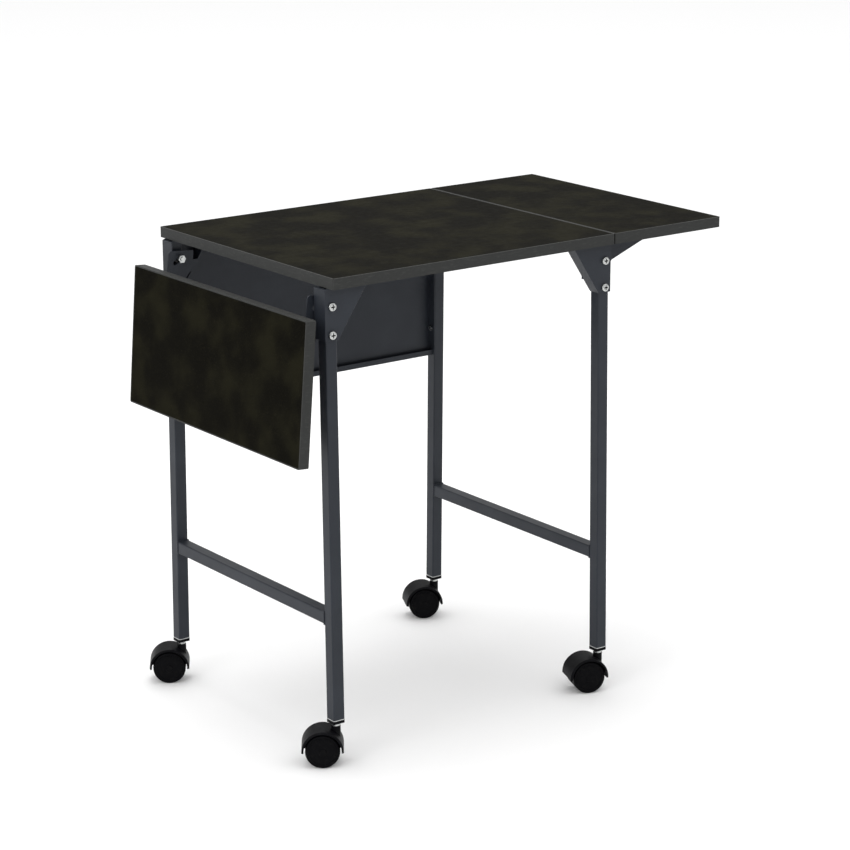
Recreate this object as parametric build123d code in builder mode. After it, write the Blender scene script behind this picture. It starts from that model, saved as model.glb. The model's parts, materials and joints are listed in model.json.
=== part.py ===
from build123d import *
import os
from math import atan2, cos, degrees, radians, sin

os.makedirs("parts", exist_ok=True)

# A mobile machine stand: a fixed top on four tube legs, a drop leaf at each end and four twin-wheel
# casters. X runs along the top towards the raised leaf, Y towards the back, Z up. The origin is on the
# floor under the centre of the fixed top. All sizes are in millimetres.

# --- Top and leaves ---
TOP_Z = 722.4
TOP_WIDTH = 508.0
DEPTH = 457.2
LEAF_LENGTH = 210.6
LEAF_GAP = 1.0
BOARD = 15.9
LAMINATE = 0.8
EDGE_BAND = 2.0
BOARD_CORNER = 3.0

# --- Leaf hinge ---
PIVOT_X = 247.3
PIVOT_Z = TOP_Z - 42.4
LIFT_OUT = 6.7
LIFT_UP = 8.5
HANG_TILT = 4.4
ARM_Y = 183.0
ARM_START = 14.0
ARM_END = 131.8
ARM_SHEET = 2.0
ARM_FLANGE = 16.0
ARM_SCREW_STATIONS = (30.0, 70.0, 110.0)
ARM_TAIL_ROUND = 6.0
SLOT_WIDTH = 6.95
WASHER = 1.0
WASHER_R = 8.0
SLIDE_GAP = 0.1

# --- End frames ---
TUBE = 19.05
TUBE_WALL = 1.2
TUBE_CORNER = 2.0
LEG_TOP_Z = TOP_Z - 16.9
FOOT_Z = 70.0
LEG_Y_TOP = 201.6
LEG_Y_FOOT = 211.5
CROSSBAR_TOP_Z = FOOT_Z + 161.4

# --- Corner brackets ---
SHEET = 2.0
BRACKET_INNER_X = 186.5
BRACKET_BOTTOM_X = 236.5
BRACKET_BOTTOM_Z = TOP_Z - 91.0
BRACKET_CHAMFER = (5.1, 1.8)
BRACKET_CAP_DEPTH = 25.0
BRACKET_FLANGE_DEPTH = 19.0
BRACKET_SCREW_X = (202.0, 224.0)
BRACKET_SCREW_Y = 204.0
LOWER_BOLT_Z = TOP_Z - 83.0

# --- Back panel ---
PANEL_SHEET = 1.2
PANEL_BACK_Y = 211.2
PANEL_BOTTOM_Z = TOP_Z - 269.0
PANEL_LIP_HEIGHT = 8.5
PANEL_LIP_DEPTH = 10.0
PANEL_END_FLANGE = 16.0
PANEL_TOP_FLANGE = 15.0
PANEL_TOP_HALF = 185.2
PANEL_CORNER_Z = TOP_Z - 92.2
PANEL_SCREW_Z = (TOP_Z - 112.0, TOP_Z - 225.0)
PANEL_SCREW_Y = 203.5
PANEL_TOP_SCREW_X = (-150.0, 0.0, 150.0)
PANEL_TOP_SCREW_Y = 203.0

# --- Fasteners ---
BOLT_R = 3.175
BOLT_HOLE_R = 3.4
BOLT_HEAD_R = 6.2
BOLT_HEAD = 3.6
BOLT_CROWN = 1.8
BOLT_PROUD = 1.5
CROSS_LENGTH = 7.0
CROSS_WIDTH = 1.7
CROSS_DEPTH = 2.0
NUT_FLATS = 11.1
NUT_HEIGHT = 6.0
SPACER_R = 6.5
RIVET_NUT_LENGTH = 9.0
RIVET_NUT_WALL = 1.6
SCREW_R = 2.0
SCREW_HEAD_R = 4.0
SCREW_HEAD = 2.2
SCREW_BITE = 11.0
PILOT_GAP = 0.02
RUNNING_GAP = 0.05

# --- Casters ---
WHEEL_R = 25.4
WHEEL_WIDTH = 18.0
WHEEL_SIDE_GAP = 0.6
HUB_R = 7.0
HUB_WALL = 2.0
TREAD_ROUND = 2.4
TRAIL = 19.5
HOOD_WEB = 8.0
HOOD_WIDTH = 45.0
HOOD_INNER_R = 27.6
HOOD_SHELL = 3.2
HOOD_ROUND = 2.6
HOOD_SKIRT = 1.4
HUB_BOSS_R = 9.0
AXLE_R = 3.0
AXLE_INSET = 2.4
STEM_R = 4.0
STEM_BITE = 12.0
NECK_R = 6.9
COLLAR_R = 6.2
COLLAR = 4.5
FERRULE = 1.2
SOCKET_FLANGE = 4.6
SOCKET_DEPTH = 24.0
SOCKET_LIP = 0.4
SOCKET_FLOOR = 1.2
STEM_END_GAP = 3.8
PLUG_GAP = 0.9
SWIVEL_ANGLES = {
    "front_left": 145.0,
    "rear_left": 147.0,
    "front_right": 159.0,
    "rear_right": 154.0,
}

# --- Sizes that follow from the ones above ---
UNDERSIDE_Z = TOP_Z - BOARD
SPLAY = (LEG_Y_FOOT - LEG_Y_TOP) / (TOP_Z - FOOT_Z)
ARM_INNER_A = TOP_WIDTH / 2 + LEAF_GAP - PIVOT_X
LEAF_UNDER_B = UNDERSIDE_Z - PIVOT_Z
LEG_FACE_X = PIVOT_X - TUBE / 2
CAP_OUTER_X = PIVOT_X + TUBE / 2 + SHEET
BRACKET_PLATE_Y = LEG_Y_TOP + SPLAY * (TOP_Z - BRACKET_BOTTOM_Z) + TUBE / 2 + SLIDE_GAP / 2
WASHER_Y = ARM_Y + ARM_SHEET + SLIDE_GAP
SPACER_Y = WASHER_Y + WASHER + SLIDE_GAP
FERRULE_Z = FOOT_Z - FERRULE
SOCKET_Z = FERRULE_Z - SOCKET_FLANGE
COLLAR_TOP_Z = SOCKET_Z - 2 * SLIDE_GAP
NECK_TOP_Z = COLLAR_TOP_Z - COLLAR
STEM_LOW_Z = NECK_TOP_Z - STEM_BITE + SLIDE_GAP
STEM_TOP_Z = FERRULE_Z + SOCKET_DEPTH - STEM_END_GAP
HOOD_R = HOOD_INNER_R + HOOD_SHELL

SIDES = {"left": -1, "right": 1}
ENDS = {"front": -1, "rear": 1}
CORNERS = {f"{end}_{side}": (SIDES[side], ENDS[end]) for side in SIDES for end in ENDS}


def save(piece, name):
    piece.part.label = name
    export_step(piece.part, f"parts/{name}.step")


def leg_y(z):
    """Distance of a leg's axis from the middle of the stand at height z: the end frames splay."""
    return LEG_Y_TOP + SPLAY * (TOP_Z - z)


def upright_plane(y):
    """The plane Y = y, drawn with X to the right and Z up."""
    return Plane(origin=(0, y, 0), x_dir=(1, 0, 0), z_dir=(0, -1, 0))


# --- The fixed top: a particle-board core, a laminate skin and an edge band round all four sides ---

CORE_WIDTH = TOP_WIDTH - 2 * EDGE_BAND
CORE_DEPTH = DEPTH - 2 * EDGE_BAND

bracket_screw_points = [
    (sx * x, sy * BRACKET_SCREW_Y) for sx, sy in CORNERS.values() for x in BRACKET_SCREW_X
]
panel_top_points = [(x, PANEL_TOP_SCREW_Y) for x in PANEL_TOP_SCREW_X]

with BuildPart() as top_board:
    with BuildSketch(Plane.XY.offset(UNDERSIDE_Z)):
        Rectangle(CORE_WIDTH, CORE_DEPTH)
    extrude(amount=BOARD - LAMINATE)
    with BuildSketch(Plane.XY.offset(UNDERSIDE_Z)):
        with Locations(bracket_screw_points + panel_top_points):
            Circle(SCREW_R + PILOT_GAP)
    extrude(amount=SCREW_BITE, mode=Mode.SUBTRACT)
save(top_board, "top_board")

with BuildPart() as top_laminate:
    with BuildSketch(Plane.XY.offset(TOP_Z - LAMINATE)):
        Rectangle(CORE_WIDTH, CORE_DEPTH)
    extrude(amount=LAMINATE)
save(top_laminate, "top_laminate")

with BuildPart() as top_edge_band:
    with BuildSketch(Plane.XY.offset(UNDERSIDE_Z)):
        RectangleRounded(TOP_WIDTH, DEPTH, BOARD_CORNER)
        Rectangle(CORE_WIDTH, CORE_DEPTH, mode=Mode.SUBTRACT)
    extrude(amount=BOARD)
save(top_edge_band, "top_edge_band")


# --- Legs and crossbars: square steel tube, two legs and one low crossbar to each end frame ---


def make_leg(name, sx, sy):
    rise = Vector(0, -sy * SPLAY, 1) * (LEG_TOP_Z - FOOT_Z)
    with BuildPart() as leg:
        with BuildSketch(Plane.XY.offset(FOOT_Z)):
            with Locations((sx * PIVOT_X, sy * leg_y(FOOT_Z))):
                RectangleRounded(TUBE, TUBE, TUBE_CORNER)
                Rectangle(TUBE - 2 * TUBE_WALL, TUBE - 2 * TUBE_WALL, mode=Mode.SUBTRACT)
        extrude(amount=rise.length, dir=rise.normalized())
        with Locations((sx * PIVOT_X, sy * leg_y(PIVOT_Z), PIVOT_Z)):
            Cylinder(BOLT_HOLE_R, 2 * TUBE, rotation=(90, 0, 0), mode=Mode.SUBTRACT)
        with Locations((sx * PIVOT_X, sy * (leg_y(LOWER_BOLT_Z) + TUBE / 2), LOWER_BOLT_Z)):
            Cylinder(BOLT_HOLE_R, TUBE / 2, rotation=(90, 0, 0), mode=Mode.SUBTRACT)
        if sy > 0:
            with Locations([(sx * LEG_FACE_X, PANEL_SCREW_Y, z) for z in PANEL_SCREW_Z]):
                Cylinder(SCREW_R + PILOT_GAP, TUBE / 2, rotation=(0, 90, 0), mode=Mode.SUBTRACT)
    save(leg, name)


def make_crossbar(name, sx):
    low = CROSSBAR_TOP_Z - TUBE
    half_top = leg_y(CROSSBAR_TOP_Z) - TUBE / 2
    half_low = leg_y(low) - TUBE / 2
    bar_plane = Plane(origin=(sx * PIVOT_X, 0, 0), x_dir=(0, 1, 0), z_dir=(1, 0, 0))
    with BuildPart() as crossbar:
        with BuildSketch(bar_plane):
            Polygon(
                (-half_low, low),
                (half_low, low),
                (half_top, CROSSBAR_TOP_Z),
                (-half_top, CROSSBAR_TOP_Z),
                align=None,
            )
        extrude(amount=TUBE / 2, both=True)
        fillet(crossbar.edges().filter_by(Axis.Y), TUBE_CORNER)
        with Locations((sx * PIVOT_X, 0, CROSSBAR_TOP_Z - TUBE / 2)):
            Box(TUBE - 2 * TUBE_WALL, DEPTH, TUBE - 2 * TUBE_WALL, mode=Mode.SUBTRACT)
    save(crossbar, name)


for corner, (sx, sy) in CORNERS.items():
    make_leg(f"leg_{corner}", sx, sy)
for side, sx in SIDES.items():
    make_crossbar(f"crossbar_{side}", sx)


# --- Corner brackets: folded sheet, a face plate with a cap round the leg, a top flange under the
# board and a return along the sloping edge ---


def make_bracket(name, sx, sy):
    chamfer_x, chamfer_z = BRACKET_CHAMFER
    slope_run = (BRACKET_BOTTOM_X - BRACKET_INNER_X) / (UNDERSIDE_Z - BRACKET_BOTTOM_Z)
    slope_width = SHEET / cos(atan2(slope_run, 1))
    outward = (0, sy, 0)
    inward = (0, -sy, 0)
    plate = upright_plane(sy * BRACKET_PLATE_Y)
    with BuildPart() as bracket:
        with BuildSketch(plate):
            Polygon(
                (sx * BRACKET_INNER_X, UNDERSIDE_Z),
                (sx * (CAP_OUTER_X - chamfer_x), UNDERSIDE_Z),
                (sx * CAP_OUTER_X, UNDERSIDE_Z - chamfer_z),
                (sx * CAP_OUTER_X, BRACKET_BOTTOM_Z),
                (sx * BRACKET_BOTTOM_X, BRACKET_BOTTOM_Z),
                align=None,
            )
            with Locations((sx * PIVOT_X, PIVOT_Z), (sx * PIVOT_X, LOWER_BOLT_Z)):
                Circle(BOLT_HOLE_R, mode=Mode.SUBTRACT)
        extrude(amount=SHEET, dir=outward)
        with BuildSketch(plate):
            Polygon(
                (sx * (CAP_OUTER_X - SHEET + SLIDE_GAP / 2), UNDERSIDE_Z - chamfer_z),
                (sx * CAP_OUTER_X, UNDERSIDE_Z - chamfer_z),
                (sx * CAP_OUTER_X, BRACKET_BOTTOM_Z),
                (sx * (CAP_OUTER_X - SHEET + SLIDE_GAP / 2), BRACKET_BOTTOM_Z),
                align=None,
            )
        extrude(amount=BRACKET_CAP_DEPTH, dir=inward)
        with BuildSketch(plate):
            Polygon(
                (sx * BRACKET_INNER_X, UNDERSIDE_Z),
                (sx * (BRACKET_INNER_X + slope_width), UNDERSIDE_Z),
                (sx * BRACKET_BOTTOM_X, BRACKET_BOTTOM_Z + slope_width / slope_run),
                (sx * BRACKET_BOTTOM_X, BRACKET_BOTTOM_Z),
                align=None,
            )
            Polygon(
                (sx * BRACKET_INNER_X, UNDERSIDE_Z),
                (sx * (LEG_FACE_X - SHEET), UNDERSIDE_Z),
                (sx * (LEG_FACE_X - SHEET), UNDERSIDE_Z - SHEET),
                (sx * (BRACKET_INNER_X + SHEET * slope_run), UNDERSIDE_Z - SHEET),
                align=None,
            )
        extrude(amount=BRACKET_FLANGE_DEPTH, dir=inward)
        with BuildSketch(Plane.XY.offset(UNDERSIDE_Z)):
            with Locations([(sx * x, sy * BRACKET_SCREW_Y) for x in BRACKET_SCREW_X]):
                Circle(SCREW_R + PILOT_GAP)
        extrude(amount=-SHEET, mode=Mode.SUBTRACT)
    save(bracket, name)


for corner, (sx, sy) in CORNERS.items():
    make_bracket(f"bracket_{corner}", sx, sy)


# --- Back panel: one folded sheet between the rear legs, its upper corners cut to clear the rear
# brackets, with a channel along its lower edge ---

PANEL_HALF = LEG_FACE_X - SLIDE_GAP / 2
PANEL_FACE_Y = PANEL_BACK_Y - PANEL_SHEET
PANEL_LIP_Y = PANEL_BACK_Y - PANEL_LIP_DEPTH

with BuildPart() as back_panel:
    with BuildSketch(upright_plane(PANEL_BACK_Y)):
        Polygon(
            (-PANEL_TOP_HALF, UNDERSIDE_Z),
            (-PANEL_HALF, PANEL_CORNER_Z),
            (-PANEL_HALF, PANEL_BOTTOM_Z),
            (PANEL_HALF, PANEL_BOTTOM_Z),
            (PANEL_HALF, PANEL_CORNER_Z),
            (PANEL_TOP_HALF, UNDERSIDE_Z),
            align=None,
        )
    extrude(amount=PANEL_SHEET)
    with BuildSketch(Plane.XY.offset(PANEL_BOTTOM_Z)):
        with Locations((0, PANEL_BACK_Y)):
            Rectangle(2 * PANEL_HALF, PANEL_LIP_DEPTH, align=(Align.CENTER, Align.MAX))
    extrude(amount=PANEL_SHEET)
    with BuildSketch(Plane.XY.offset(PANEL_BOTTOM_Z)):
        with Locations((0, PANEL_LIP_Y)):
            Rectangle(2 * PANEL_HALF, PANEL_SHEET, align=(Align.CENTER, Align.MIN))
    extrude(amount=PANEL_LIP_HEIGHT)
    with BuildSketch(Plane.XY.offset(UNDERSIDE_Z)):
        with Locations((0, PANEL_BACK_Y)):
            Rectangle(2 * PANEL_TOP_HALF, PANEL_TOP_FLANGE, align=(Align.CENTER, Align.MAX))
        with Locations(panel_top_points):
            Circle(SCREW_R + PILOT_GAP, mode=Mode.SUBTRACT)
    extrude(amount=-PANEL_SHEET)
    for sx in SIDES.values():
        with BuildSketch(Plane.XY.offset(PANEL_BOTTOM_Z + 2 * PANEL_LIP_HEIGHT)):
            with Locations((sx * (PANEL_HALF - PANEL_SHEET / 2), PANEL_BACK_Y)):
                Rectangle(PANEL_SHEET, PANEL_END_FLANGE, align=(Align.CENTER, Align.MAX))
        extrude(amount=PANEL_CORNER_Z - PANEL_BOTTOM_Z - 2 * PANEL_LIP_HEIGHT)
        with Locations([(sx * PANEL_HALF, PANEL_SCREW_Y, z) for z in PANEL_SCREW_Z]):
            Cylinder(SCREW_R + PILOT_GAP, 4 * PANEL_SHEET, rotation=(0, 90, 0), mode=Mode.SUBTRACT)
save(back_panel, "back_panel")


# --- Leaves ---


class LeafFrame:
    """Where a leaf stands: its hinge corner, the direction out along it and its face's normal."""

    def __init__(self, sx, tilt, lifted):
        self.sx = sx
        self.along = Vector(sx * sin(tilt), 0, -cos(tilt)) if lifted else Vector(sx, 0, 0)
        self.normal = Vector(sx * cos(tilt), 0, sin(tilt)) if lifted else Vector(0, 0, 1)
        pivot = Vector(sx * PIVOT_X, 0, PIVOT_Z)
        shift = self.along * LIFT_OUT + self.normal * LIFT_UP
        self.origin = pivot + shift if lifted else pivot

    def face_plane(self, height):
        return Plane(
            origin=self.origin + self.normal * height, x_dir=self.along, z_dir=self.normal
        )

    def arm_plane(self, y):
        return Plane(
            origin=self.origin + Vector(0, y, 0),
            x_dir=self.along,
            z_dir=self.along.cross(self.normal),
        )


LEAVES = {
    "left": LeafFrame(-1, radians(HANG_TILT), True),
    "right": LeafFrame(1, 0.0, False),
}
LEAF_MIDDLE = ARM_INNER_A + LEAF_LENGTH / 2
LEAF_CORE = LEAF_LENGTH - 2 * EDGE_BAND
ARM_SCREW_Y = ARM_Y - ARM_FLANGE / 2
arm_screw_points = [(a, s * ARM_SCREW_Y) for a in ARM_SCREW_STATIONS for s in (-1, 1)]

# The arm's outline, out along the leaf and up from the pivot bolt: a rounded tail, a short finger
# under it, then a heel and a long taper out under the leaf.
ARM_OUTLINE = [
    (-18.5, 12.5),
    (-18.5, -31.0),
    (-4.5, -31.0),
    (-4.5, -42.5),
    (0.0, -42.5),
    (17.8, -23.5),
    (34.2, -13.9),
    (38.7, -8.5),
    (ARM_END, LEAF_UNDER_B),
    (ARM_START, LEAF_UNDER_B),
    (ARM_START, 12.5),
]


def make_leaf_board(side, frame):
    with BuildPart() as board:
        with BuildSketch(frame.face_plane(LEAF_UNDER_B)):
            with Locations((LEAF_MIDDLE, 0)):
                Rectangle(LEAF_CORE, CORE_DEPTH)
        extrude(amount=BOARD - LAMINATE)
        with BuildSketch(frame.face_plane(LEAF_UNDER_B)):
            with Locations(arm_screw_points):
                Circle(SCREW_R + PILOT_GAP)
        extrude(amount=SCREW_BITE, mode=Mode.SUBTRACT)
    save(board, f"leaf_board_{side}")


def make_leaf_laminate(side, frame):
    with BuildPart() as laminate:
        with BuildSketch(frame.face_plane(LEAF_UNDER_B + BOARD - LAMINATE)):
            with Locations((LEAF_MIDDLE, 0)):
                Rectangle(LEAF_CORE, CORE_DEPTH)
        extrude(amount=LAMINATE)
    save(laminate, f"leaf_laminate_{side}")


def make_leaf_edge_band(side, frame):
    with BuildPart() as band:
        with BuildSketch(frame.face_plane(LEAF_UNDER_B)):
            with Locations((LEAF_MIDDLE, 0)):
                RectangleRounded(LEAF_LENGTH, DEPTH, BOARD_CORNER)
                Rectangle(LEAF_CORE, CORE_DEPTH, mode=Mode.SUBTRACT)
        extrude(amount=BOARD)
    save(band, f"leaf_edge_band_{side}")


def make_arm(name, frame, sy):
    inward = (0, -sy, 0)
    with BuildPart() as arm:
        with BuildSketch(frame.arm_plane(sy * ARM_Y)) as outline:
            Polygon(*ARM_OUTLINE, align=None)
            fillet(outline.vertices().group_by(Axis.X)[0].sort_by(Axis.Y)[-1], ARM_TAIL_ROUND)
            with Locations((-LIFT_OUT / 2, -LIFT_UP / 2)):
                SlotCenterToCenter(
                    Vector(LIFT_OUT, LIFT_UP).length,
                    SLOT_WIDTH,
                    rotation=degrees(atan2(LIFT_UP, LIFT_OUT)),
                    mode=Mode.SUBTRACT,
                )
        extrude(amount=ARM_SHEET, dir=(0, sy, 0))
        with BuildSketch(frame.arm_plane(sy * ARM_Y)):
            Polygon(
                (ARM_START, LEAF_UNDER_B),
                (ARM_END, LEAF_UNDER_B),
                (ARM_END - 3 * ARM_SHEET, LEAF_UNDER_B - ARM_SHEET),
                (ARM_START, LEAF_UNDER_B - ARM_SHEET),
                align=None,
            )
        extrude(amount=ARM_FLANGE, dir=inward)
        with BuildSketch(frame.face_plane(LEAF_UNDER_B)):
            with Locations(arm_screw_points):
                Circle(SCREW_R + PILOT_GAP)
        extrude(amount=-ARM_SHEET, mode=Mode.SUBTRACT)
    save(arm, name)


def make_arm_screws(side, frame):
    with BuildPart() as screws:
        with BuildSketch(frame.face_plane(LEAF_UNDER_B - ARM_SHEET)):
            with Locations(arm_screw_points):
                Circle(SCREW_R)
        extrude(amount=ARM_SHEET + SCREW_BITE - SCREW_R / 2)
        with BuildSketch(frame.face_plane(LEAF_UNDER_B - ARM_SHEET)):
            with Locations(arm_screw_points):
                Circle(SCREW_HEAD_R)
        extrude(amount=-SCREW_HEAD)
    save(screws, f"arm_screws_{side}")


def make_pivot_washers(side, sx):
    with BuildPart() as washers:
        for sy in ENDS.values():
            with BuildSketch(upright_plane(sy * WASHER_Y)):
                with Locations((sx * PIVOT_X, PIVOT_Z)):
                    Circle(WASHER_R)
                    Circle(BOLT_R + RUNNING_GAP, mode=Mode.SUBTRACT)
            extrude(amount=WASHER, dir=(0, sy, 0))
    save(washers, f"pivot_washers_{side}")


for side, frame in LEAVES.items():
    make_leaf_board(side, frame)
    make_leaf_laminate(side, frame)
    make_leaf_edge_band(side, frame)
    make_arm_screws(side, frame)
    make_pivot_washers(side, frame.sx)
    for end, sy in ENDS.items():
        make_arm(f"leaf_arm_{end}_{side}", frame, sy)


# --- Bolts, nuts, spacers and screws of the frame ---

HEAD_Y = BRACKET_PLATE_Y + SHEET
NUT_Y = ARM_Y - SLIDE_GAP
RIVET_NUT_Y = leg_y(LOWER_BOLT_Z) + TUBE / 2 - TUBE_WALL - SLIDE_GAP


def make_bolts(name, z, length):
    with BuildPart() as bolts:
        for sx, sy in CORNERS.values():
            with BuildSketch(upright_plane(sy * HEAD_Y)):
                with Locations((sx * PIVOT_X, z)):
                    Circle(BOLT_R)
            extrude(amount=length, dir=(0, -sy, 0))
            with Locations((sx * PIVOT_X, sy * (HEAD_Y + BOLT_HEAD / 2), z)):
                Cylinder(BOLT_HEAD_R, BOLT_HEAD, rotation=(90, 0, 0))
        fillet(bolts.edges().filter_by(GeomType.CIRCLE).group_by(Axis.Y)[0], BOLT_CROWN)
        fillet(bolts.edges().filter_by(GeomType.CIRCLE).group_by(Axis.Y)[-1], BOLT_CROWN)
        for sx, sy in CORNERS.values():
            with Locations((sx * PIVOT_X, sy * (HEAD_Y + BOLT_HEAD - CROSS_DEPTH / 2), z)):
                Box(CROSS_LENGTH, CROSS_DEPTH, CROSS_WIDTH, mode=Mode.SUBTRACT)
                Box(CROSS_WIDTH, CROSS_DEPTH, CROSS_LENGTH, mode=Mode.SUBTRACT)
    save(bolts, name)


make_bolts("pivot_bolts", PIVOT_Z, HEAD_Y - NUT_Y + NUT_HEIGHT + BOLT_PROUD)
make_bolts("bracket_bolts", LOWER_BOLT_Z, HEAD_Y - RIVET_NUT_Y + RIVET_NUT_LENGTH)

with BuildPart() as rivet_nuts:
    for sx, sy in CORNERS.values():
        with BuildSketch(upright_plane(sy * RIVET_NUT_Y)):
            with Locations((sx * PIVOT_X, LOWER_BOLT_Z)):
                Circle(BOLT_R + RIVET_NUT_WALL)
                Circle(BOLT_R + PILOT_GAP, mode=Mode.SUBTRACT)
        extrude(amount=RIVET_NUT_LENGTH, dir=(0, -sy, 0))
save(rivet_nuts, "rivet_nuts")

with BuildPart() as pivot_nuts:
    for sx, sy in CORNERS.values():
        with BuildSketch(upright_plane(sy * NUT_Y)):
            with Locations((sx * PIVOT_X, PIVOT_Z)):
                RegularPolygon(NUT_FLATS / 2, 6, major_radius=False)
                Circle(BOLT_R + PILOT_GAP, mode=Mode.SUBTRACT)
        extrude(amount=NUT_HEIGHT, dir=(0, -sy, 0))
save(pivot_nuts, "pivot_nuts")

with BuildPart() as pivot_spacers:
    for sx, sy in CORNERS.values():
        with BuildSketch(upright_plane(sy * SPACER_Y)):
            with Locations((sx * PIVOT_X, PIVOT_Z)):
                Circle(SPACER_R)
                Circle(BOLT_R + PILOT_GAP, mode=Mode.SUBTRACT)
        spacer_end = leg_y(PIVOT_Z + SPACER_R) - TUBE / 2 - PILOT_GAP
        extrude(amount=spacer_end - SPACER_Y, dir=(0, sy, 0))
save(pivot_spacers, "pivot_spacers")

with BuildPart() as bracket_screws:
    with BuildSketch(Plane.XY.offset(UNDERSIDE_Z - SHEET)):
        with Locations(bracket_screw_points):
            Circle(SCREW_R)
    extrude(amount=SHEET + SCREW_BITE - SCREW_R / 2)
    with BuildSketch(Plane.XY.offset(UNDERSIDE_Z - SHEET)):
        with Locations(bracket_screw_points):
            Circle(SCREW_HEAD_R)
    extrude(amount=-SCREW_HEAD)
save(bracket_screws, "bracket_screws")

with BuildPart() as panel_screws:
    with BuildSketch(Plane.XY.offset(UNDERSIDE_Z - PANEL_SHEET)):
        with Locations(panel_top_points):
            Circle(SCREW_R)
    extrude(amount=PANEL_SHEET + SCREW_BITE - SCREW_R / 2)
    with BuildSketch(Plane.XY.offset(UNDERSIDE_Z - PANEL_SHEET)):
        with Locations(panel_top_points):
            Circle(SCREW_HEAD_R)
    extrude(amount=-SCREW_HEAD)
    for sx in SIDES.values():
        head_plane = Plane(
            origin=(sx * (PANEL_HALF - PANEL_SHEET), 0, 0), x_dir=(0, 1, 0), z_dir=(1, 0, 0)
        )
        with BuildSketch(head_plane):
            with Locations([(PANEL_SCREW_Y, z) for z in PANEL_SCREW_Z]):
                Circle(SCREW_R)
        extrude(amount=PANEL_SHEET + TUBE / 2, dir=(sx, 0, 0))
        with BuildSketch(head_plane):
            with Locations([(PANEL_SCREW_Y, z) for z in PANEL_SCREW_Z]):
                Circle(SCREW_HEAD_R)
        extrude(amount=SCREW_HEAD, dir=(-sx, 0, 0))
save(panel_screws, "panel_screws")


# --- Foot sockets: a bright ferrule plate and a plastic plug with a flange in the end of each leg ---

foot_points = [(sx * PIVOT_X, sy * LEG_Y_FOOT) for sx, sy in CORNERS.values()]
PLUG_WIDTH = TUBE - 2 * TUBE_WALL - PLUG_GAP

with BuildPart() as foot_ferrules:
    with BuildSketch(Plane.XY.offset(FERRULE_Z)):
        with Locations(foot_points):
            RectangleRounded(TUBE, TUBE, TUBE_CORNER)
            Rectangle(PLUG_WIDTH + 2 * PILOT_GAP, PLUG_WIDTH + 2 * PILOT_GAP, mode=Mode.SUBTRACT)
    extrude(amount=FERRULE)
save(foot_ferrules, "foot_ferrules")

with BuildPart() as foot_sockets:
    with BuildSketch(Plane.XY.offset(SOCKET_Z)):
        with Locations(foot_points):
            RectangleRounded(TUBE + SOCKET_LIP, TUBE + SOCKET_LIP, TUBE_CORNER)
    extrude(amount=SOCKET_FLANGE)
    with BuildSketch(Plane.XY.offset(FERRULE_Z)):
        with Locations(foot_points):
            Rectangle(PLUG_WIDTH, PLUG_WIDTH)
    extrude(amount=SOCKET_DEPTH)
    with BuildSketch(Plane.XY.offset(SOCKET_Z)):
        with Locations(foot_points):
            Circle(STEM_R + RUNNING_GAP)
    extrude(amount=SOCKET_FLANGE + SOCKET_DEPTH - SOCKET_FLOOR, mode=Mode.SUBTRACT)
save(foot_sockets, "foot_sockets")


# --- Casters: stem, hood with a web between the wheels, axle, and two domed wheels ---


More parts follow.
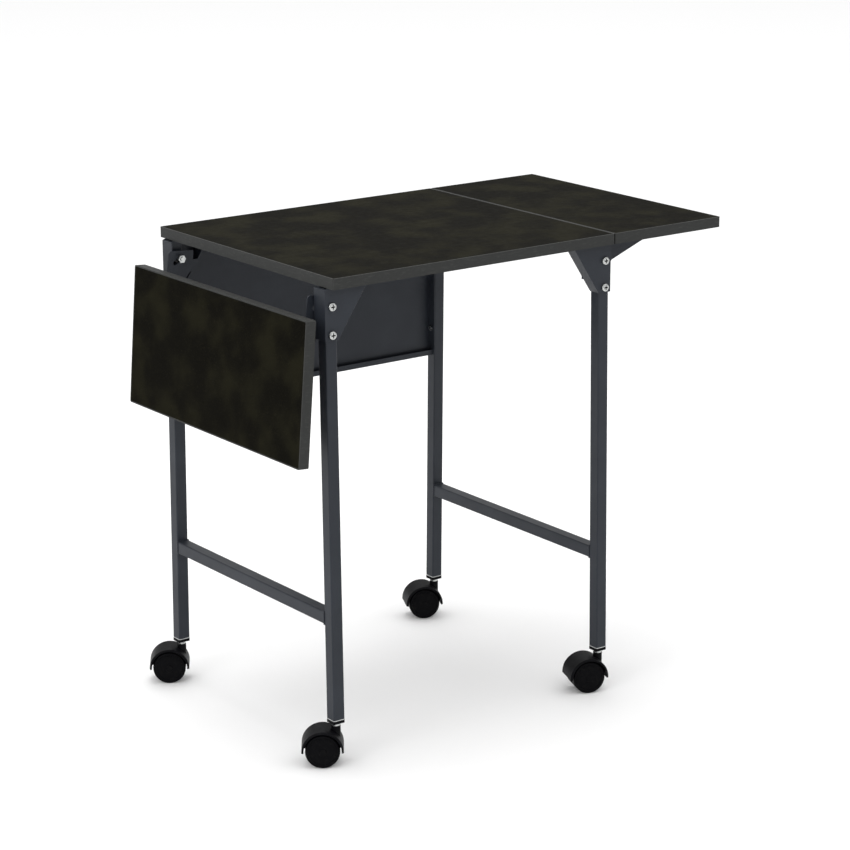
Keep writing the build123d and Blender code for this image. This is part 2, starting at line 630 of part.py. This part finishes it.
def make_caster(corner, sx, sy, angle):
    trail = Vector(cos(radians(angle)), sin(radians(angle)), 0)
    axle = Vector(sin(radians(angle)), -cos(radians(angle)), 0)
    foot = Vector(sx * PIVOT_X, sy * LEG_Y_FOOT, 0)
    hub = foot + trail * TRAIL + Vector(0, 0, WHEEL_R)
    side_plane = Plane(origin=hub, x_dir=trail, z_dir=axle)
    foot_xy = (foot.X, foot.Y)

    with BuildPart() as hood:
        with BuildSketch(side_plane):
            Circle(HOOD_R)
        extrude(amount=HOOD_WIDTH / 2, both=True)
        fillet(hood.edges().filter_by(GeomType.CIRCLE), HOOD_ROUND)
        with BuildSketch(Plane.XY.offset(WHEEL_R)):
            with Locations(foot_xy):
                Circle(NECK_R)
        extrude(amount=NECK_TOP_Z - WHEEL_R)
        with BuildSketch(side_plane):
            Circle(HOOD_INNER_R)
        extrude(amount=HOOD_WIDTH, both=True, mode=Mode.SUBTRACT)
        with BuildSketch(side_plane):
            with Locations((0, -HOOD_SKIRT)):
                Rectangle(3 * HOOD_R, 2 * HOOD_R, align=(Align.CENTER, Align.MAX))
        extrude(amount=HOOD_WIDTH, both=True, mode=Mode.SUBTRACT)
        with BuildSketch(side_plane):
            Circle(HOOD_INNER_R + HOOD_SHELL / 2)
            Rectangle(3 * HOOD_R, 2 * HOOD_R, align=(Align.CENTER, Align.MAX), mode=Mode.SUBTRACT)
            Circle(HUB_BOSS_R)
            Circle(AXLE_R + PILOT_GAP, mode=Mode.SUBTRACT)
        extrude(amount=HOOD_WEB / 2, both=True)
        with BuildSketch(Plane.XY.offset(NECK_TOP_Z)):
            with Locations(foot_xy):
                Circle(STEM_R + PILOT_GAP)
        extrude(amount=-STEM_BITE, mode=Mode.SUBTRACT)
    save(hood, f"caster_hood_{corner}")

    with BuildPart() as stem:
        with BuildSketch(Plane.XY.offset(STEM_LOW_Z)):
            with Locations(foot_xy):
                Circle(STEM_R)
        extrude(amount=STEM_TOP_Z - STEM_LOW_Z)
        with BuildSketch(Plane.XY.offset(NECK_TOP_Z)):
            with Locations(foot_xy):
                Circle(COLLAR_R)
        extrude(amount=COLLAR_TOP_Z - NECK_TOP_Z)
    save(stem, f"caster_stem_{corner}")

    wheel_out = HOOD_WEB / 2 + WHEEL_SIDE_GAP + WHEEL_WIDTH
    with BuildPart() as axle_pin:
        with BuildSketch(side_plane):
            Circle(AXLE_R)
        extrude(amount=wheel_out - AXLE_INSET, both=True)
    save(axle_pin, f"caster_axle_{corner}")

    inner = HOOD_WEB / 2 + WHEEL_SIDE_GAP
    for letter, turn in (("a", 1), ("b", -1)):
        across = axle * turn
        profile_plane = Plane(origin=hub, x_dir=across, z_dir=across.cross(Vector(0, 0, 1)))
        with BuildPart() as wheel:
            with BuildSketch(profile_plane):
                with BuildLine():
                    Polyline(
                        (wheel_out, HUB_R),
                        (wheel_out, 0),
                        (wheel_out - HUB_WALL, 0),
                        (wheel_out - HUB_WALL, AXLE_R + RUNNING_GAP),
                        (inner, AXLE_R + RUNNING_GAP),
                        (inner, WHEEL_R - TREAD_ROUND),
                        (inner + TREAD_ROUND / 2, WHEEL_R),
                        (wheel_out - 2 * TREAD_ROUND, WHEEL_R),
                    )
                    ThreePointArc(
                        (wheel_out - 2 * TREAD_ROUND, WHEEL_R),
                        (wheel_out - 1.2 * TREAD_ROUND, WHEEL_R - TREAD_ROUND / 3),
                        (wheel_out - 0.8 * TREAD_ROUND, WHEEL_R - 1.2 * TREAD_ROUND),
                    )
                    Line(
                        (wheel_out - 0.8 * TREAD_ROUND, WHEEL_R - 1.2 * TREAD_ROUND),
                        (wheel_out, HUB_R),
                    )
                make_face()
            revolve(axis=Axis(hub, across))
        save(wheel, f"wheel_{corner}_{letter}")


for corner, (sx, sy) in CORNERS.items():
    make_caster(corner, sx, sy, SWIVEL_ANGLES[corner])
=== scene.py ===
import json
from math import cos, radians, sin

import bmesh
import bpy
from mathutils import Matrix, Vector, noise

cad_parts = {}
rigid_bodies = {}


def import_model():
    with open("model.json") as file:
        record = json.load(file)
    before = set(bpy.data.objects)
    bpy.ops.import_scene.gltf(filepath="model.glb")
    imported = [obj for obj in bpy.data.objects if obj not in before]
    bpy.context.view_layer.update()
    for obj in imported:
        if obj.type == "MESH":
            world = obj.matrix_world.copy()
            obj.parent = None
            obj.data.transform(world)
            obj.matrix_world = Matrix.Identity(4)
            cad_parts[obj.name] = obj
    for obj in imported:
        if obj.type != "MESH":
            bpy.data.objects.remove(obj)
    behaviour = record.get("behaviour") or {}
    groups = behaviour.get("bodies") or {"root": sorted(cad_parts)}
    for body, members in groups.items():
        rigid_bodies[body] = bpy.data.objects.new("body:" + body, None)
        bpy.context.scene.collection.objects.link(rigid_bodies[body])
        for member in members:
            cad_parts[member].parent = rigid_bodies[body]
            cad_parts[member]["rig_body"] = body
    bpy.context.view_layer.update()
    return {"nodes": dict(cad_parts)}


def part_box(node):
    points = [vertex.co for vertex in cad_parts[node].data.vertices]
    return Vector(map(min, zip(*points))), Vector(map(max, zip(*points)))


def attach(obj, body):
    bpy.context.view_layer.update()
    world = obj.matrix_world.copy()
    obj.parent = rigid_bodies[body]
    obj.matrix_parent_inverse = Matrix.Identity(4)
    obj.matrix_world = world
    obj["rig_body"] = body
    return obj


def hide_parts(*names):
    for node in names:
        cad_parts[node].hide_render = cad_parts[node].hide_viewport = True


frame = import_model()

# The worktop and the two drop leaves. Each is a particle-board core with a near-black mottled
# laminate on its upper face and a grey plastic band ironed on round its edges.
LAMINATE_DARK = (0.0040, 0.0036, 0.0024, 1.0)
LAMINATE_PALE = (0.0105, 0.0097, 0.0052, 1.0)
LAMINATE_FLECK = (0.029, 0.027, 0.015, 1.0)
FLECK_SHARE = 0.45
BAND_GREY = (0.030, 0.031, 0.030, 1.0)
BAND_SCUFFED = (0.048, 0.050, 0.047, 1.0)
SCUFF_SHARE = 0.6
BACKER_BROWN = (0.040, 0.029, 0.020, 1.0)
BACKER_FIBRE = (0.075, 0.056, 0.038, 1.0)
BAND_ROUND = 0.0007
BOARD_ROUND = 0.0003
SKIN_ROUND = 0.00015
SAME_SPOT = 0.000001
FLAT_DEGREES = 0.3
BEVEL_SEGMENTS = 3


class Wire:
    """One output of a shader node, which can be used in sums and products."""

    def __init__(self, finish, socket):
        self.finish = finish
        self.socket = socket

    def worked(self, operation, other):
        return self.finish.node("ShaderNodeMath", {"operation": operation}, {0: self, 1: other})

    def __add__(self, other):
        return self.worked("ADD", other)

    def __mul__(self, other):
        return self.worked("MULTIPLY", other)

    __radd__ = __add__
    __rmul__ = __mul__


class Finish:
    """A paint, plastic or metal, built up one node at a time."""

    def __init__(self, name, slot, shine=0.5, metallic=0.0):
        self.slot = slot
        self.material = bpy.data.materials.new(name)
        self.material.use_nodes = True
        self.tree = self.material.node_tree
        self.shader = self.tree.nodes["Principled BSDF"]
        self.shader.inputs["Metallic"].default_value = metallic
        self.shader.inputs["Specular IOR Level"].default_value = shine
        self.place = self.node("ShaderNodeTexCoord", out="Object")

    def feed(self, socket, value):
        if isinstance(value, Wire):
            self.tree.links.new(value.socket, socket)
        else:
            socket.default_value = value

    def node(self, kind, settings=None, inputs=None, out=0):
        made = self.tree.nodes.new(kind)
        for key, value in (settings or {}).items():
            setattr(made, key, value)
        for key, value in (inputs or {}).items():
            self.feed(made.inputs[key], value)
        return Wire(self, made.outputs[out])

    def grain(self, per_metre, detail=2.0, stretch=(1.0, 1.0, 1.0)):
        """A noise from 0 to 1 with this many lumps to the metre, drawn out along some axes."""
        where = self.node("ShaderNodeMapping", None, {"Vector": self.place, "Scale": stretch})
        settings = {"Vector": where, "Scale": per_metre, "Detail": detail}
        return self.node("ShaderNodeTexNoise", None, settings)

    def patches(self, low, high, **grain):
        """0 where this grain is under low, 1 where it is over high."""
        settings = {"Value": self.grain(**grain), "From Min": low, "From Max": high}
        return self.node("ShaderNodeMapRange", {"interpolation_type": "SMOOTHSTEP"}, settings)

    def blend(self, share, first, second):
        colours = {0: share, 6: first, 7: second}
        return self.node("ShaderNodeMix", {"data_type": "RGBA"}, colours, out=2)

    def colour(self, value):
        self.feed(self.shader.inputs["Base Color"], value)

    def roughness(self, least, spread=0.0, over=None):
        """One roughness all over, or one that rises by up to spread as over goes from 0 to 1."""
        self.feed(self.shader.inputs["Roughness"], least + spread * over if over else least)

    def relief(self, height, depth):
        settings = {"Height": height, "Distance": depth}
        bump = self.node("ShaderNodeBump", None, settings, out="Normal")
        self.feed(self.shader.inputs["Normal"], bump)


def put_in_scene(name, shape, finish):
    """Makes the bmesh an object in this finish."""
    mesh = bpy.data.meshes.new(name)
    shape.to_mesh(mesh)
    shape.free()
    piece = bpy.data.objects.new(name, mesh)
    bpy.context.scene.collection.objects.link(piece)
    piece.data.materials.append(finish.material)
    return piece


def put_on_body(name, shape, finish, body):
    """Makes the bmesh a piece of the stand in this finish, riding on this body."""
    piece = put_in_scene(name, shape, finish)
    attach(piece, body)
    return piece


def soften(shape, width, crease, shortest):
    """Rounds the corners of a shape that are sharper than crease, and smooths its curved faces."""
    corners = []
    for edge in shape.edges:
        if edge.is_manifold and edge.calc_length() > shortest:
            if edge.calc_face_angle() > radians(crease):
                corners.append(edge)
    bmesh.ops.bevel(
        shape, geom=corners, offset=width, affect="EDGES", segments=BEVEL_SEGMENTS, profile=0.5,
        material=-1, clamp_overlap=True,
    )
    for face in shape.faces:
        face.smooth = True
    for edge in shape.edges:
        if edge.is_manifold:
            edge.smooth = edge.calc_face_angle() < radians(crease)


def dress(node, finish, width, crease=40.0, shortest=0.003):
    """A copy of a node in its own finish, with the corners of its metal, board or plastic eased."""
    shape = bmesh.new()
    shape.from_mesh(frame["nodes"][node].data)
    bmesh.ops.remove_doubles(shape, verts=shape.verts, dist=SAME_SPOT)
    flat = radians(FLAT_DEGREES)
    bmesh.ops.dissolve_limit(shape, angle_limit=flat, verts=shape.verts, edges=shape.edges)
    soften(shape, width, crease, shortest)
    piece = put_on_body(node + "_finished", shape, finish, frame["nodes"][node]["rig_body"])
    levelled = piece.modifiers.new("level faces", "WEIGHTED_NORMAL")
    levelled.keep_sharp = True
    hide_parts(node)


laminate = Finish("mottled laminate", "laminate", shine=0.01)
clouds = laminate.patches(low=0.38, high=0.68, per_metre=17.0, detail=5.0)
flecks = laminate.patches(low=0.56, high=0.74, per_metre=620.0, detail=3.0)
ground = laminate.blend(clouds, LAMINATE_DARK, LAMINATE_PALE)
laminate.colour(laminate.blend(flecks * FLECK_SHARE, ground, LAMINATE_FLECK))
laminate.roughness(least=0.46, spread=0.16, over=laminate.grain(per_metre=90.0, detail=3.0))
laminate.relief(laminate.grain(per_metre=1500.0), depth=0.00004)

edge_plastic = Finish("grey edge band", "edge_band", shine=0.15)
scuffs = edge_plastic.patches(
    low=0.52, high=0.75, per_metre=120.0, detail=4.0, stretch=(1.0, 1.0, 4.0)
)
edge_plastic.colour(edge_plastic.blend(scuffs * SCUFF_SHARE, BAND_GREY, BAND_SCUFFED))
edge_plastic.roughness(least=0.44, spread=0.15, over=edge_plastic.grain(per_metre=300.0))
edge_plastic.relief(edge_plastic.grain(per_metre=900.0, detail=3.0), depth=0.00005)

backer = Finish("brown backing sheet", "board", shine=0.25)
fibres = backer.patches(low=0.45, high=0.7, per_metre=260.0, detail=5.0, stretch=(1.0, 5.0, 5.0))
backer.colour(backer.blend(fibres, BACKER_BROWN, BACKER_FIBRE))
backer.roughness(least=0.6, spread=0.2, over=backer.grain(per_metre=60.0))
backer.relief(fibres, depth=0.00005)

for board in ("top_board", "leaf_board_left", "leaf_board_right"):
    dress(board, backer, BOARD_ROUND)
for skin in ("top_laminate", "leaf_laminate_left", "leaf_laminate_right"):
    dress(skin, laminate, SKIN_ROUND)
for band in ("top_edge_band", "leaf_edge_band_left", "leaf_edge_band_right"):
    dress(band, edge_plastic, BAND_ROUND)

# The steel frame: two end frames of square tube, four folded corner brackets, the leaf arms and the
# back panel. All of it is powder coated in a satin charcoal with a faint orange-peel skin.
PAINT = (0.0180, 0.0215, 0.0285, 1.0)
PAINT_RUBBED = (0.030, 0.035, 0.045, 1.0)
HANDLED_SHARE = 0.35
SPECKLE_SHARE = 0.5
SHEET_ROUND = 0.0006
PANEL_ROUND = 0.0003
TUBE_ROUND = 0.0003

paint = Finish("charcoal powder coat", "frame_paint", shine=0.25)
handled = paint.patches(low=0.45, high=0.72, per_metre=14.0, detail=4.0)
speckle = paint.patches(low=0.55, high=0.8, per_metre=1400.0)
coat_colour = paint.blend(handled * HANDLED_SHARE, PAINT, PAINT_RUBBED)
paint.colour(paint.blend(speckle * SPECKLE_SHARE, coat_colour, PAINT_RUBBED))
paint.roughness(least=0.36, spread=0.14, over=paint.grain(per_metre=45.0, detail=3.0))
paint.relief(paint.grain(per_metre=520.0), depth=0.00007)

corners = [end + "_" + side for end in ("front", "rear") for side in ("left", "right")]
for corner in corners:
    dress("leg_" + corner, paint, TUBE_ROUND)
    dress("bracket_" + corner, paint, SHEET_ROUND)
    dress("leaf_arm_" + corner, paint, SHEET_ROUND)
for side in ("left", "right"):
    dress("crossbar_" + side, paint, TUBE_ROUND)
dress("back_panel", paint, PANEL_ROUND)

# The crossbars are welded in: a rippled bead of filler runs round each end where it meets the leg,
# and is painted with the frame.
BEAD_R = 0.0013
BEAD_STEPS = 10
BEAD_SIDES = 8
BEAD_SQUARE = ((-1, -1), (1, -1), (1, 1), (-1, 1))
RIPPLE = 0.22
RIPPLE_TURN = 2.4
LUMPS = 0.15
LUMPS_PER_M = 900.0
LEG_SPLAY = 0.0152


def add_cord(shape, places, radii, sides):
    """Draws a closed round cord through a ring of places, as thick at each as its radius says."""
    rings = []
    for place, radius in zip(places, radii):
        ring = bmesh.ops.create_circle(
            shape, cap_ends=False, radius=radius, segments=sides, matrix=place
        )
        rings.append({edge for vert in ring["verts"] for edge in vert.link_edges})
    for ring, after in zip(rings, rings[1:] + rings[:1]):
        bmesh.ops.bridge_loops(shape, edges=list(ring) + list(after))
    bmesh.ops.recalc_face_normals(shape, faces=shape.faces)
    for face in shape.faces:
        face.smooth = True


def facing(direction):
    """The turn that points +Z along a direction."""
    return direction.to_track_quat("Z", "Y").to_matrix().to_4x4()


for side in ("left", "right"):
    low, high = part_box("crossbar_" + side)
    middle = (low + high) / 2
    half = (high - low) / 2
    shape = bmesh.new()
    for end in (-1, 1):
        path = []
        for (ax, az), (bx, bz) in zip(BEAD_SQUARE, BEAD_SQUARE[1:] + BEAD_SQUARE[:1]):
            for step in range(BEAD_STEPS):
                share = step / BEAD_STEPS
                across = (ax + (bx - ax) * share) * half.x
                up = (az + (bz - az) * share) * half.z
                reach = high.y - LEG_SPLAY * (up + half.z) - BEAD_R / 2
                path.append(Vector((middle.x + across, end * reach, middle.z + up)))
        places = []
        radii = []
        for step, spot in enumerate(path):
            ahead = path[(step + 1) % len(path)] - path[step - 1]
            places.append(Matrix.Translation(spot) @ facing(ahead))
            ripple = RIPPLE * sin(step * RIPPLE_TURN) + LUMPS * noise.noise(spot * LUMPS_PER_M)
            radii.append(BEAD_R * (1.0 + ripple))
        add_cord(shape, places, radii, BEAD_SIDES)
    put_on_body("weld_beads_" + side, shape, paint, "stand")

# Bolts, nuts, screws and the ferrule plates in bright zinc: cross-recessed pan heads outside, nuts
# inside.
ZINC = (0.52, 0.53, 0.52, 1.0)
ZINC_HAZE = (0.36, 0.37, 0.38, 1.0)
SMALL_ROUND = 0.0002
SMALL_EDGE = 0.001

zinc = Finish("bright zinc", "zinc", metallic=1.0)
haze = zinc.patches(low=0.45, high=0.7, per_metre=400.0, detail=3.0)
zinc.colour(zinc.blend(haze, ZINC, ZINC_HAZE))
zinc.roughness(least=0.2, spread=0.16, over=haze)
zinc.relief(zinc.grain(per_metre=1600.0), depth=0.00002)

for part in ("pivot_bolts", "bracket_bolts", "pivot_nuts", "bracket_screws", "panel_screws",
             "rivet_nuts", "foot_ferrules", "arm_screws_left", "arm_screws_right"):
    dress(part, zinc, SMALL_ROUND, shortest=SMALL_EDGE)

# The floor of each bolt's cross recess holds a thin dark insert: painted shade standing in for the
# shadow inside the recess.
RECESS_SHADE = (0.010, 0.010, 0.011, 1.0)
BOLT_HEAD_R = 0.0062
RECESS_LENGTH = 0.0070
RECESS_WIDTH = 0.0017
RECESS_DEPTH = 0.0020
RECESS_SHADE_DEPTH = 0.0014
RECESS_SHADE_FIT = 0.97

# The near-black colour of these recess inserts is painted shade, not dirt.
recess_shade = Finish("painted recess shade", "zinc", shine=0.2)
recess_shade.colour(RECESS_SHADE)
recess_shade.roughness(least=0.7, spread=0.2, over=recess_shade.grain(per_metre=900.0))

for part in ("pivot_bolts", "bracket_bolts"):
    low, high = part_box(part)
    face_y = high.y - RECESS_DEPTH + RECESS_SHADE_DEPTH / 2
    shape = bmesh.new()
    for sx in (-1, 1):
        for sy in (-1, 1):
            spot = Vector((sx * (high.x - BOLT_HEAD_R), sy * face_y, (low.z + high.z) / 2))
            for wide, tall in ((RECESS_LENGTH, RECESS_WIDTH), (RECESS_WIDTH, RECESS_LENGTH)):
                size = Matrix.Diagonal((wide, RECESS_SHADE_DEPTH, tall, 1))
                place = Matrix.Translation(spot) @ size
                bmesh.ops.create_cube(shape, size=RECESS_SHADE_FIT, matrix=place)
    put_on_body(part + "_painted_shade", shape, recess_shade, "stand")

# Black nylon spacers and thrust washers on the pivot bolts, between the leaf arms and the legs.
NYLON = (0.016, 0.016, 0.017, 1.0)
NYLON_WORN = (0.034, 0.034, 0.036, 1.0)

nylon = Finish("black nylon", "nylon", shine=0.4)
worn = nylon.patches(low=0.5, high=0.75, per_metre=200.0, detail=3.0)
nylon.colour(nylon.blend(worn, NYLON, NYLON_WORN))
nylon.roughness(least=0.42, spread=0.2, over=nylon.grain(per_metre=500.0))
nylon.relief(nylon.grain(per_metre=1200.0), depth=0.00003)

for part in ("pivot_spacers", "pivot_washers_left", "pivot_washers_right"):
    dress(part, nylon, SMALL_ROUND, shortest=SMALL_EDGE)

# Casters: a moulded hood over two wheels on one axle, turning on a steel stem in the moulded plug
# in the leg's foot.
MOULDED = (0.0032, 0.0032, 0.0040, 1.0)
MOULDED_PALE = (0.0070, 0.0070, 0.0085, 1.0)
TYRE = (0.0024, 0.0024, 0.0030, 1.0)
TYRE_DUSTY = (0.0090, 0.0086, 0.0082, 1.0)
DUST_SHARE = 0.6
PLUG_ROUND = 0.0003
HOOD_ROUND = 0.0005
WHEEL_ROUND = 0.0004

moulded = Finish("black moulded hood", "black_plastic", shine=0.05)
flow = moulded.patches(low=0.45, high=0.75, per_metre=70.0, detail=4.0)
moulded.colour(moulded.blend(flow, MOULDED, MOULDED_PALE))
moulded.roughness(least=0.34, spread=0.16, over=moulded.grain(per_metre=240.0, detail=3.0))
moulded.relief(moulded.grain(per_metre=1100.0), depth=0.00004)

tyre = Finish("black caster wheel", "wheel_plastic", shine=0.05)
dust = tyre.patches(low=0.5, high=0.8, per_metre=160.0, detail=5.0)
tyre.colour(tyre.blend(dust * DUST_SHARE, TYRE, TYRE_DUSTY))
tyre.roughness(least=0.3, spread=0.3, over=tyre.grain(per_metre=200.0, detail=4.0))
tyre.relief(tyre.grain(per_metre=700.0, detail=3.0), depth=0.00005)

dress("foot_sockets", moulded, PLUG_ROUND, shortest=SMALL_EDGE)
for corner in corners:
    dress("caster_hood_" + corner, moulded, HOOD_ROUND, crease=35.0, shortest=0.002)
    dress("caster_stem_" + corner, zinc, SMALL_ROUND, shortest=SMALL_EDGE)
    dress("caster_axle_" + corner, zinc, SMALL_ROUND, shortest=SMALL_EDGE)
    for letter in "ab":
        wheel = "wheel_" + corner + "_" + letter
        dress(wheel, tyre, WHEEL_ROUND, crease=35.0, shortest=SMALL_EDGE)

# Each wheel wears a push-on hub cap and has one raised ring moulded near the rim of its dished
# face.
CASTER_TURN = {"front_left": 145.0, "rear_left": 147.0, "front_right": 159.0, "rear_right": 154.0}
WHEEL_FACE = 0.0226
CAP_R = 0.0062
CAP_TAPER = 0.9
CAP_THICK = 0.0016
CAP_CREASE = 40.0
RIM_RING_R = 0.0205
RIM_RING_SINK = 0.0014
RIM_RING_WIRE = 0.0006
RING_STEPS = 64
WIRE_SIDES = 6

for corner, turn in CASTER_TURN.items():
    low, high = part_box("caster_axle_" + corner)
    hub = (low + high) / 2
    for letter, hand in (("a", 1), ("b", -1)):
        outward = Vector((sin(radians(turn)), -cos(radians(turn)), 0.0)) * hand
        shape = bmesh.new()
        bmesh.ops.create_cone(
            shape, cap_ends=True, segments=RING_STEPS, radius1=CAP_R, radius2=CAP_R * CAP_TAPER,
            depth=CAP_THICK,
            matrix=Matrix.Translation(hub + outward * WHEEL_FACE) @ facing(outward),
        )
        soften(shape, CAP_THICK / 4, CAP_CREASE, shortest=0.0)
        ring_hub = hub + outward * (WHEEL_FACE - RIM_RING_SINK)
        centre = Matrix.Translation(ring_hub) @ facing(outward)
        upright = Matrix.Translation((RIM_RING_R, 0.0, 0.0)) @ Matrix.Rotation(radians(90), 4, "X")
        places = []
        for step in range(RING_STEPS):
            spoke = Matrix.Rotation(radians(360.0 * step / RING_STEPS), 4, "Z")
            places.append(centre @ spoke @ upright)
        add_cord(shape, places, [RIM_RING_WIRE] * RING_STEPS, WIRE_SIDES)
        wheel = "wheel_" + corner + "_" + letter
        put_on_body(wheel + "_cap", shape, tyre, frame["nodes"][wheel]["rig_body"])

# A pale studio: a plain floor under one very broad overhead panel, with a softbox closer in, a
# weaker lamp at the left, and the camera.
FLOOR_HALF = 40.0
FLOOR_WHITE = (0.86, 0.86, 0.86, 1.0)
SKY_WHITE = (1.0, 1.0, 1.0, 1.0)
SKY_STRENGTH = 0.36
CAMERA_AT = (-2.2691, -3.1450, 1.5149)
CAMERA_TURN = (radians(74.2291), radians(0.1572), radians(-36.7108))
CAMERA_LENS = 112.0
CAMERA_REACH = 100.0

floor_finish = Finish("pale floor", None, shine=0.1)
floor_finish.colour(FLOOR_WHITE)
floor_finish.roughness(least=0.9)
shape = bmesh.new()
bmesh.ops.create_grid(shape, x_segments=1, y_segments=1, size=FLOOR_HALF)
put_in_scene("floor", shape, floor_finish)


def add_lamp(name, place, aim, size, watts):
    lamp = bpy.data.objects.new(name, bpy.data.lights.new(name, "AREA"))
    lamp.data.shape = "DISK"
    lamp.data.size = size
    lamp.data.energy = watts
    lamp.location = place
    lamp.rotation_euler = (Vector(aim) - Vector(place)).to_track_quat("-Z", "Y").to_euler()
    bpy.context.scene.collection.objects.link(lamp)


add_lamp("overhead panel", place=(0.0, 0.0, 6.5), aim=(0.0, 0.0, 0.0), size=34.0, watts=2800.0)
add_lamp("overhead softbox", place=(0.3, 0.3, 3.6), aim=(0.2, 0.1, 0.0), size=2.6, watts=42.0)
add_lamp("left lamp", place=(-3.4, -0.9, 1.5), aim=(0.0, 0.0, 0.4), size=1.6, watts=26.0)

world = bpy.data.worlds.new("studio")
world.use_nodes = True
sky = world.node_tree.nodes["Background"]
sky.inputs["Color"].default_value = SKY_WHITE
sky.inputs["Strength"].default_value = SKY_STRENGTH
bpy.context.scene.world = world
bpy.context.scene.view_settings.view_transform = "Standard"

camera = bpy.data.objects.new("camera", bpy.data.cameras.new("camera"))
camera.data.lens = CAMERA_LENS
camera.data.clip_end = CAMERA_REACH
camera.location = CAMERA_AT
camera.rotation_euler = CAMERA_TURN
bpy.context.scene.collection.objects.link(camera)
bpy.context.scene.camera = camera
